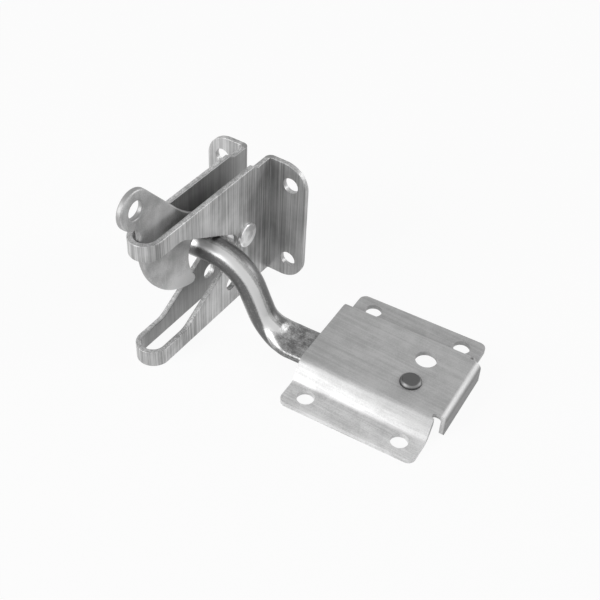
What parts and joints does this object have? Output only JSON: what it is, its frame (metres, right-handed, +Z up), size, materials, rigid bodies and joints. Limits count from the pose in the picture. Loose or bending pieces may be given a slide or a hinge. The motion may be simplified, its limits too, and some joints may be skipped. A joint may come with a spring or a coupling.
{
  "type": "gate latch",
  "caption": "Gravity gate latch: a folded steel catch with a pivoting pawl, and a channelled strike plate whose bent round bar drops into the mouth of the catch.",
  "frame": {"origin": "centre of the four post screws, on the post face of the catch", "axes": "+X out of the post, along the arms; +Y along the strike bar, towards the strike plate; +Z up"},
  "size_m": [0.1059, 0.1554, 0.0942],
  "materials": {
    "brushed_steel": "brushed upright",
    "bright_steel": "bright, smooth",
    "tumbled_steel": "tumbled satin",
    "bar_steel": "drawn, half bright",
    "dark_steel": "dark, worn at the rim",
    "satin_steel": "satin"
  },
  "bodies": {
    "catch": {"catch_body": "brushed_steel", "rivet": "bright_steel", "spacer_near": "bright_steel", "spacer_far": "bright_steel"},
    "pawl": {"pawl": "tumbled_steel"},
    "bar": {"strike_bar": "bar_steel", "pivot_pin": "dark_steel"},
    "strike": {"strike_plate": "satin_steel"}
  },
  "joints": [
    {"name": "pawl_pivot", "type": "hinge", "parent": "catch", "child": "pawl", "pos_m": [0.0205, 0, 0], "axis": [0, -1, 0], "range_deg": [0, 55]},
    {"name": "bar_turn", "type": "hinge", "parent": "catch", "child": "bar", "pos_m": [0.0432, 0, 0.00557], "axis": [-0.0658, 0.9978, 0], "range_deg": [-10, 10]},
    {"name": "plate_swivel", "type": "hinge", "parent": "bar", "child": "strike", "pos_m": [0.03623, 0.1057, -0.02265], "axis": [0, 0, 1], "range_deg": [-2, 12]}
  ]
}
